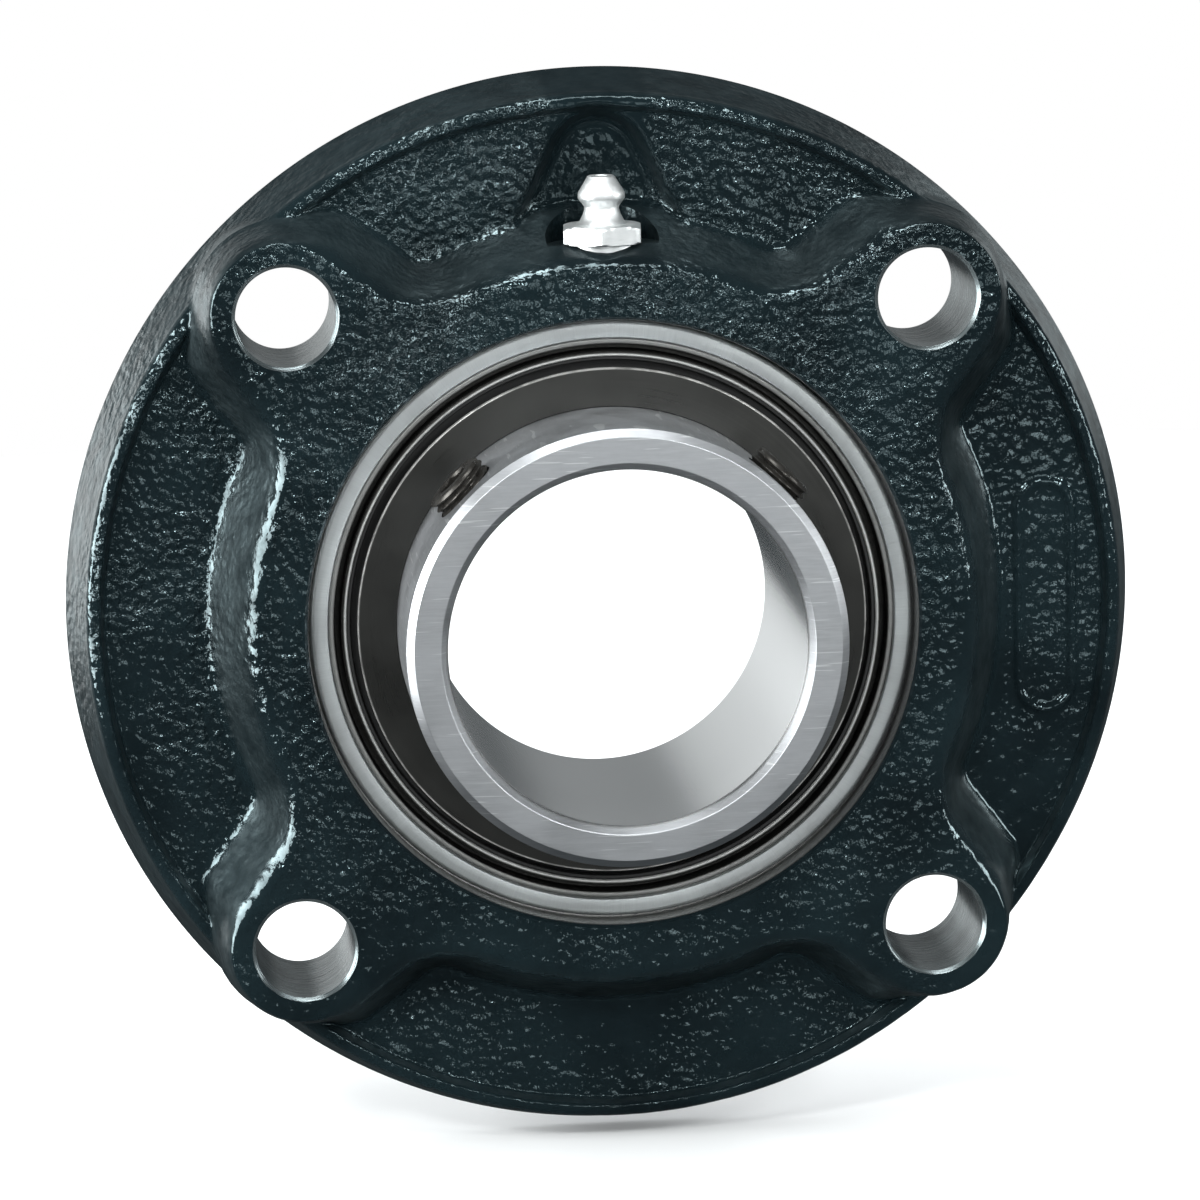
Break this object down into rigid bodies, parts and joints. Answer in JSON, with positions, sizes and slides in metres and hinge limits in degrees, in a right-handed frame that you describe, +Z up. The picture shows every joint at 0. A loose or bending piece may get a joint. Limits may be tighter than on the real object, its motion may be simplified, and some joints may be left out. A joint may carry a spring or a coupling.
{
  "type": "flange mount bearing",
  "caption": "Piloted round flange cartridge bearing: cast iron housing, self-aligning ball bearing insert with set-screw locking, grease nipple, bolt holes through raised bosses.",
  "frame": {"origin": "centre of the bolt circle on the face that bolts to the machine", "axes": "+Z up through the grease nipple, +X right seen from the front, the shaft axis along Y, the front with the set screws looks along -Y and the pilot goes into the machine along +Y"},
  "size_m": [0.1578, 0.0536, 0.1578],
  "materials": {
    "housing_paint": "gloss enamel over pebbled grey cast iron",
    "ground_steel": "ground and turned bearing steel, fine scratches",
    "ball_steel": "polished",
    "black_oxide": "satin black oxide on pressed steel",
    "black_shell": "dark phosphate on pressed steel",
    "seal_rubber": "matte nitrile rubber",
    "cage_steel": "pressed steel",
    "spring_steel": "satin",
    "screw_oxide": "black oxide with oil sheen",
    "zinc_plate": "bright zinc plate"
  },
  "bodies": {
    "root": {"housing": "housing_paint", "grease_nipple_body": "zinc_plate", "grease_nipple_spring": "spring_steel", "grease_nipple_spring_seat": "zinc_plate"},
    "check_ball": {"grease_nipple_ball": "ball_steel"},
    "locking_pin": {"locking_pin": "spring_steel"},
    "outer_ring": {"outer_ring": "ground_steel", "front_seal_shell": "black_shell", "front_seal_lip": "seal_rubber", "rear_seal_shell": "black_shell", "rear_seal_lip": "seal_rubber"},
    "inner_ring": {"inner_ring": "ground_steel", "front_flinger": "black_oxide", "rear_flinger": "black_oxide"},
    "cage": {"cage_front_half": "cage_steel", "cage_rear_half": "cage_steel", "cage_rivets": "cage_steel"},
    "set_screw_left": {"set_screw_left": "screw_oxide"},
    "set_screw_right": {"set_screw_right": "screw_oxide"},
    "ball_01": {"ball_01": "ball_steel"},
    "ball_02": {"ball_02": "ball_steel"},
    "ball_03": {"ball_03": "ball_steel"},
    "ball_04": {"ball_04": "ball_steel"},
    "ball_05": {"ball_05": "ball_steel"},
    "ball_06": {"ball_06": "ball_steel"},
    "ball_07": {"ball_07": "ball_steel"},
    "ball_08": {"ball_08": "ball_steel"},
    "ball_09": {"ball_09": "ball_steel"},
    "ball_10": {"ball_10": "ball_steel"}
  },
  "joints": [
    {"name": "aligning_tilt", "type": "hinge", "parent": "root", "child": "locking_pin", "pos_m": [0, -0.0085, 0], "axis": [1, 0, 0], "range_deg": [-3, 3]},
    {"name": "aligning_turn", "type": "hinge", "parent": "locking_pin", "child": "outer_ring", "pos_m": [0, -0.0085, 0], "axis": [0, 0, 1], "range_deg": [-3, 3]},
    {"name": "shaft_spin", "type": "hinge", "parent": "outer_ring", "child": "inner_ring", "pos_m": [0, -0.0085, 0], "axis": [0, -1, 0], "continuous": true},
    {"name": "cage_spin", "type": "hinge", "parent": "outer_ring", "child": "cage", "pos_m": [0, -0.0085, 0], "axis": [0, -1, 0], "continuous": true},
    {"name": "check_ball_press", "type": "slide", "parent": "root", "child": "check_ball", "axis": [0, 0, -1], "range_m": [0, 0.0008], "stiffness_N_per_m": 500, "springref_m": -0.002, "deforming": ["grease_nipple_spring"]},
    {"name": "ball_01_roll", "type": "hinge", "parent": "cage", "child": "ball_01", "pos_m": [0.035, -0.0085, 0], "axis": [0, -1, 0], "continuous": true},
    {"name": "ball_02_roll", "type": "hinge", "parent": "cage", "child": "ball_02", "pos_m": [0.02832, -0.0085, 0.02057], "axis": [0, -1, 0], "continuous": true},
    {"name": "ball_03_roll", "type": "hinge", "parent": "cage", "child": "ball_03", "pos_m": [0.01082, -0.0085, 0.03329], "axis": [0, -1, 0], "continuous": true},
    {"name": "ball_04_roll", "type": "hinge", "parent": "cage", "child": "ball_04", "pos_m": [-0.01082, -0.0085, 0.03329], "axis": [0, -1, 0], "continuous": true},
    {"name": "ball_05_roll", "type": "hinge", "parent": "cage", "child": "ball_05", "pos_m": [-0.02832, -0.0085, 0.02057], "axis": [0, -1, 0], "continuous": true},
    {"name": "ball_06_roll", "type": "hinge", "parent": "cage", "child": "ball_06", "pos_m": [-0.035, -0.0085, 0], "axis": [0, -1, 0], "continuous": true},
    {"name": "ball_07_roll", "type": "hinge", "parent": "cage", "child": "ball_07", "pos_m": [-0.02832, -0.0085, -0.02057], "axis": [0, -1, 0], "continuous": true},
    {"name": "ball_08_roll", "type": "hinge", "parent": "cage", "child": "ball_08", "pos_m": [-0.01082, -0.0085, -0.03329], "axis": [0, -1, 0], "continuous": true},
    {"name": "ball_09_roll", "type": "hinge", "parent": "cage", "child": "ball_09", "pos_m": [0.01082, -0.0085, -0.03329], "axis": [0, -1, 0], "continuous": true},
    {"name": "ball_10_roll", "type": "hinge", "parent": "cage", "child": "ball_10", "pos_m": [0.02832, -0.0085, -0.02057], "axis": [0, -1, 0], "continuous": true},
    {"name": "set_screw_left_travel", "type": "slide", "parent": "inner_ring", "child": "set_screw_left", "axis": [-0.7071, 0, 0.7071], "range_m": [-0.0015, 0.004]},
    {"name": "set_screw_right_travel", "type": "slide", "parent": "inner_ring", "child": "set_screw_right", "axis": [0.7071, 0, 0.7071], "range_m": [-0.0015, 0.004]}
  ],
  "couplings": [
    {"joint": "cage_spin", "follows": "shaft_spin", "ratio": 0.40929},
    {"joint": "ball_01_roll", "follows": "shaft_spin", "ratio": -2.6652},
    {"joint": "ball_02_roll", "follows": "shaft_spin", "ratio": -2.6652},
    {"joint": "ball_03_roll", "follows": "shaft_spin", "ratio": -2.6652},
    {"joint": "ball_04_roll", "follows": "shaft_spin", "ratio": -2.6652},
    {"joint": "ball_05_roll", "follows": "shaft_spin", "ratio": -2.6652},
    {"joint": "ball_06_roll", "follows": "shaft_spin", "ratio": -2.6652},
    {"joint": "ball_07_roll", "follows": "shaft_spin", "ratio": -2.6652},
    {"joint": "ball_08_roll", "follows": "shaft_spin", "ratio": -2.6652},
    {"joint": "ball_09_roll", "follows": "shaft_spin", "ratio": -2.6652},
    {"joint": "ball_10_roll", "follows": "shaft_spin", "ratio": -2.6652}
  ]
}
